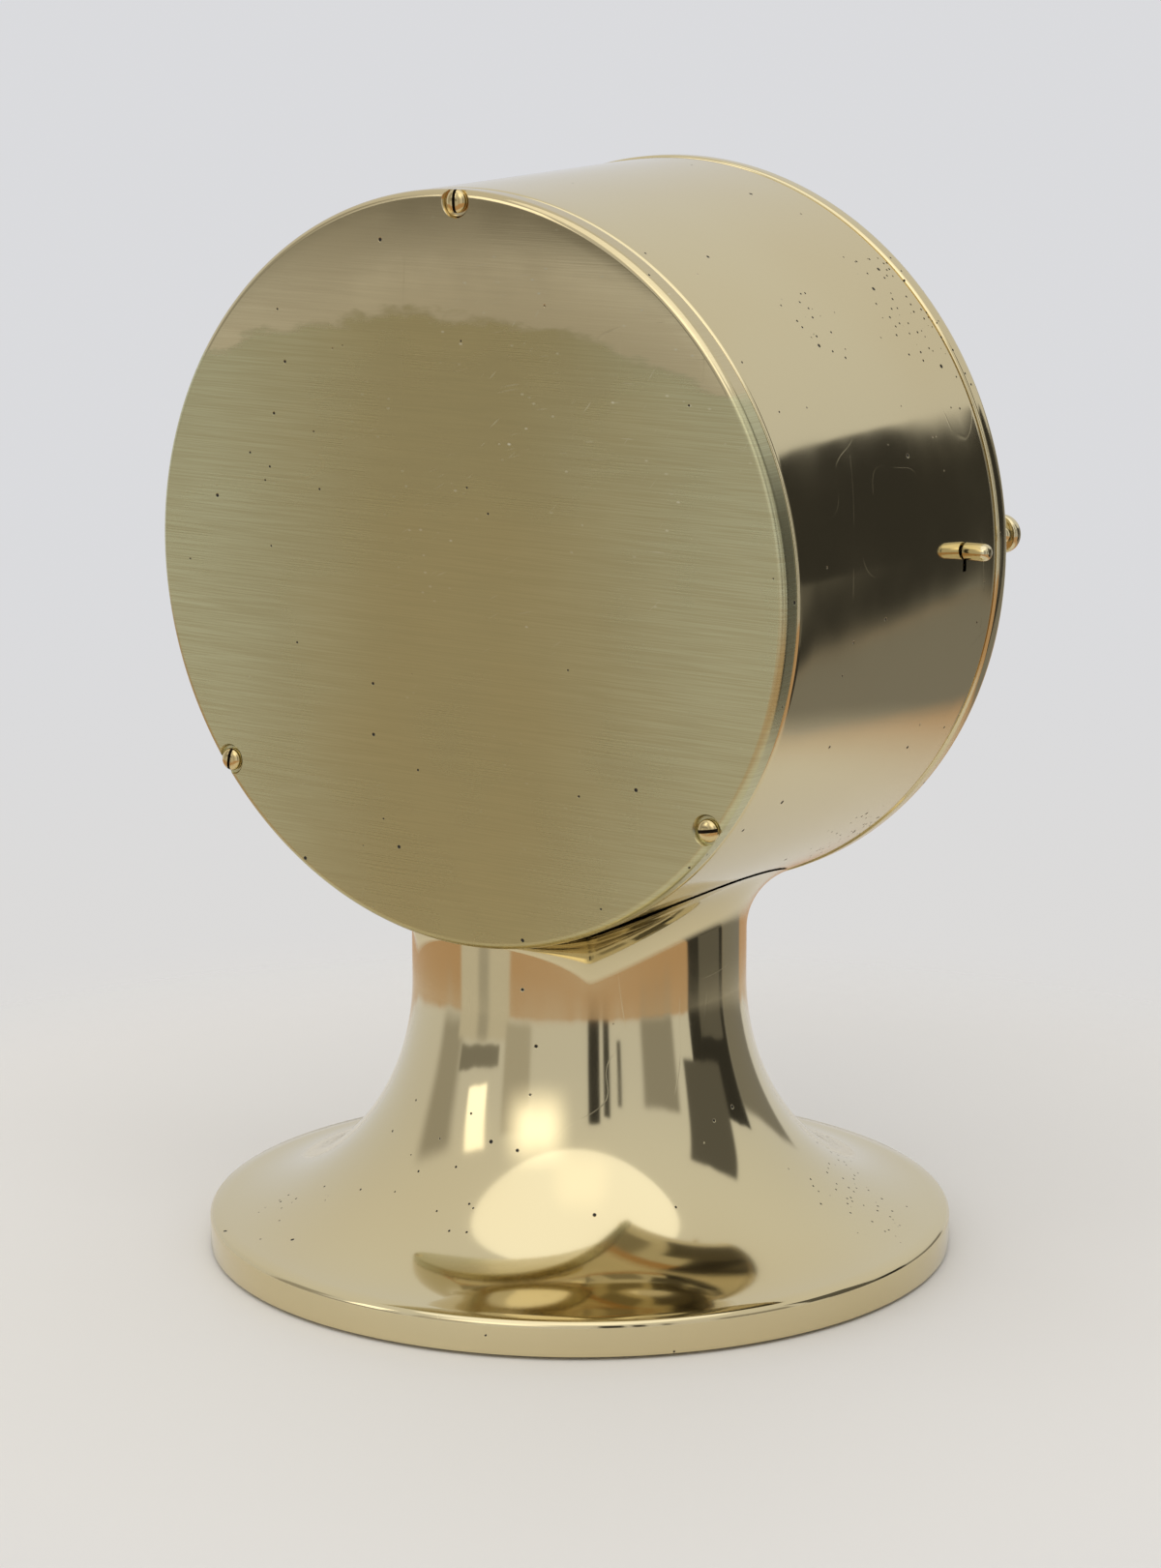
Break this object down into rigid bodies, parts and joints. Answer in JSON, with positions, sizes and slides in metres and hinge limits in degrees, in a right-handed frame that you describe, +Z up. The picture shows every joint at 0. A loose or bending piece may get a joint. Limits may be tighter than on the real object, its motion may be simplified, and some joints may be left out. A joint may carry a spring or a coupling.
{
  "type": "marine clock",
  "caption": "Mechanical clock in a round cast brass drum on a trumpet-shaped pedestal, with a hinged, glazed and latched front bezel and a screwed rear cover.",
  "frame": {"origin": "centre of the underside of the base, on the surface that the clock stands on", "axes": "+Z up, -Y the way the dial faces, +Y towards the rear cover, +X towards 3 o'clock as the dial is read"},
  "size_m": [0.2183, 0.2064, 0.2973],
  "materials": {
    "polished_brass": "cast brass, polished bright and lacquered, with small casting pits and hairline scratches",
    "brushed_brass": "satin brass with fine horizontal brushing",
    "movement_brass": "turned and straight-grained brass",
    "steel": "bright machined steel",
    "blued_steel": "polished and blued dark",
    "dial_white": "off-white satin enamel",
    "clear_glass": "clear flat glass",
    "green_felt": "dark green felt"
  },
  "bodies": {
    "case": {"pedestal": "polished_brass", "base_plate": "steel", "base_felt": "green_felt", "base_plate_screw_1": "steel", "base_plate_screw_2": "steel", "base_plate_screw_3": "steel", "pedestal_bolt_front": "steel", "pedestal_bolt_rear": "steel", "drum_case": "polished_brass", "rear_cover": "brushed_brass", "rear_cover_screw_top": "polished_brass", "rear_cover_screw_left": "polished_brass", "rear_cover_screw_right": "polished_brass", "hinge_bracket": "polished_brass", "hinge_screw_upper": "polished_brass", "hinge_screw_lower": "polished_brass", "hinge_pin": "steel", "latch_pivot_screw": "steel", "dial": "dial_white", "dial_screw_1": "blued_steel", "dial_screw_2": "blued_steel", "dial_screw_3": "blued_steel", "dial_pillar_1": "movement_brass", "dial_pillar_2": "movement_brass", "dial_pillar_3": "movement_brass", "front_plate": "movement_brass", "back_plate": "movement_brass", "movement_pillar_1": "movement_brass", "movement_pillar_2": "movement_brass", "movement_pillar_3": "movement_brass", "plate_screw_1": "blued_steel", "plate_screw_2": "blued_steel", "plate_screw_3": "blued_steel", "hairspring": "blued_steel", "balance_cock": "movement_brass"},
    "bezel": {"bezel_ring": "polished_brass", "bezel_glass": "clear_glass", "glass_retaining_ring": "movement_brass", "bezel_knob": "polished_brass", "bezel_catch": "steel"},
    "latch": {"latch_lever": "steel", "latch_knob": "polished_brass", "latch_spring": "steel"},
    "seconds_arbor": {"fourth_wheel": "movement_brass", "seconds_hand": "blued_steel"},
    "third_arbor": {"third_wheel": "movement_brass"},
    "centre_arbor": {"centre_wheel": "movement_brass", "cannon_pinion": "steel", "minute_hand": "blued_steel"},
    "minute_work": {"minute_wheel": "movement_brass"},
    "hour_pipe": {"hour_wheel": "movement_brass", "hour_hand": "blued_steel"},
    "escape_arbor": {"escape_wheel": "movement_brass"},
    "barrel": {"mainspring_barrel": "movement_brass", "mainspring": "blued_steel"},
    "winding": {"winding_arbor": "steel"},
    "click_lever": {"click": "steel"},
    "lever_fork": {"pallet_fork": "steel"},
    "balance": {"balance_wheel": "movement_brass"}
  },
  "joints": [
    {"name": "bezel_hinge", "type": "hinge", "parent": "case", "child": "bezel", "pos_m": [0.10611, -0.04925, 0.1951], "axis": [0, 0, 1], "range_deg": [0, 120]},
    {"name": "latch_pivot", "type": "hinge", "parent": "case", "child": "latch", "pos_m": [-0.093, 0, 0.1968], "axis": [1, 0, 0], "range_deg": [0, 7.4], "stiffness_Nm_per_rad": 0.1, "springref_deg": -5.73},
    {"name": "seconds_spin", "type": "hinge", "parent": "case", "child": "seconds_arbor", "pos_m": [0, 0, 0.2211], "axis": [0, 1, 0], "continuous": true},
    {"name": "third_spin", "type": "hinge", "parent": "case", "child": "third_arbor", "pos_m": [0.01295, 0, 0.20996], "axis": [0, 1, 0], "continuous": true},
    {"name": "centre_spin", "type": "hinge", "parent": "case", "child": "centre_arbor", "pos_m": [0, 0, 0.1951], "axis": [0, 1, 0], "continuous": true},
    {"name": "minute_work_spin", "type": "hinge", "parent": "case", "child": "minute_work", "pos_m": [0.005, 0, 0.18644], "axis": [0, 1, 0], "continuous": true},
    {"name": "hour_spin", "type": "hinge", "parent": "case", "child": "hour_pipe", "pos_m": [0, 0, 0.1951], "axis": [0, 1, 0], "continuous": true},
    {"name": "escape_spin", "type": "hinge", "parent": "case", "child": "escape_arbor", "pos_m": [0.01216, 0, 0.22962], "axis": [0, 1, 0], "continuous": true},
    {"name": "barrel_spin", "type": "hinge", "parent": "case", "child": "barrel", "pos_m": [-0.02408, 0, 0.17824], "axis": [0, 1, 0], "continuous": true},
    {"name": "winding_spin", "type": "hinge", "parent": "case", "child": "winding", "pos_m": [-0.02408, 0, 0.17824], "axis": [0, 1, 0], "continuous": true},
    {"name": "click_pivot", "type": "hinge", "parent": "case", "child": "click_lever", "pos_m": [-0.03165, 0, 0.16742], "axis": [0, 1, 0], "range_deg": [0, 12], "stiffness_Nm_per_rad": 0.002},
    {"name": "fork_rock", "type": "hinge", "parent": "case", "child": "lever_fork", "pos_m": [0.02156, 0, 0.2262], "axis": [0, 1, 0], "range_deg": [-5, 5]},
    {"name": "balance_swing", "type": "hinge", "parent": "case", "child": "balance", "pos_m": [0.03378, 0, 0.22175], "axis": [0, 1, 0], "range_deg": [-270, 270], "stiffness_Nm_per_rad": 0.00006}
  ],
  "couplings": [
    {"joint": "third_spin", "follows": "seconds_spin", "ratio": -0.13333},
    {"joint": "centre_spin", "follows": "seconds_spin", "ratio": 0.016667},
    {"joint": "minute_work_spin", "follows": "seconds_spin", "ratio": -0.0055556},
    {"joint": "hour_spin", "follows": "seconds_spin", "ratio": 0.0013889},
    {"joint": "escape_spin", "follows": "seconds_spin", "ratio": -8},
    {"joint": "barrel_spin", "follows": "seconds_spin", "ratio": -0.0027778}
  ]
}
